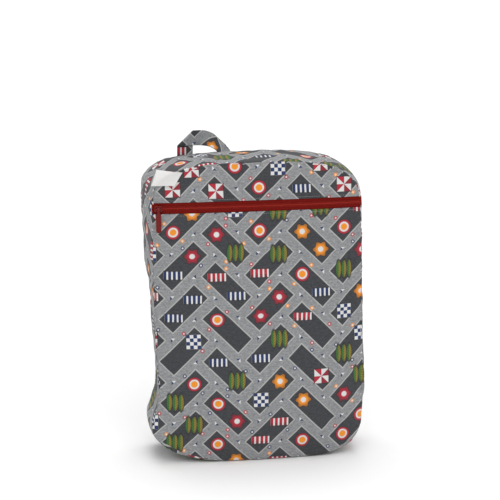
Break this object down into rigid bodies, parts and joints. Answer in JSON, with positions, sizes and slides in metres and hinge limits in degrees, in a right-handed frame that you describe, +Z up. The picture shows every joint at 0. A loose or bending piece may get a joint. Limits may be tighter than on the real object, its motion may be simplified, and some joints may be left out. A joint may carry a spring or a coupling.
{
  "type": "zipped cloth wet bag",
  "caption": "Upright zipped pouch of printed cloth with a band between its panels, a hanging loop, a blank tag and a swinging zipper pull.",
  "frame": {"origin": "on the ground under the middle of the bag's foot", "axes": "+Z up, -Y towards the zipped front, +X to the right seen from the front"},
  "size_m": [0.2909, 0.1232, 0.4341],
  "materials": {
    "printed_cloth": null,
    "zipper_tape": "matte woven tape",
    "zipper_teeth": "satin nylon coil",
    "painted_slider": "gloss enamel",
    "label": "smooth woven satin, blank"
  },
  "bodies": {
    "bag": {"front_panel_lower": "printed_cloth", "front_panel_upper": "printed_cloth", "back_panel": "printed_cloth", "gusset": "printed_cloth", "zipper_tape_lower": "zipper_tape", "zipper_tape_upper": "zipper_tape", "zipper_teeth": "zipper_teeth", "zipper_slider": "painted_slider", "strap_loop": "printed_cloth", "label_tag": "label"},
    "pull": {"zipper_pull": "painted_slider"}
  },
  "joints": [
    {"name": "pull_hinge", "type": "hinge", "parent": "bag", "child": "pull", "pos_m": [-0.13034, -0.04716, 0.345], "axis": [-0.995, 0.0995, 0], "range_deg": [0, 170]}
  ]
}
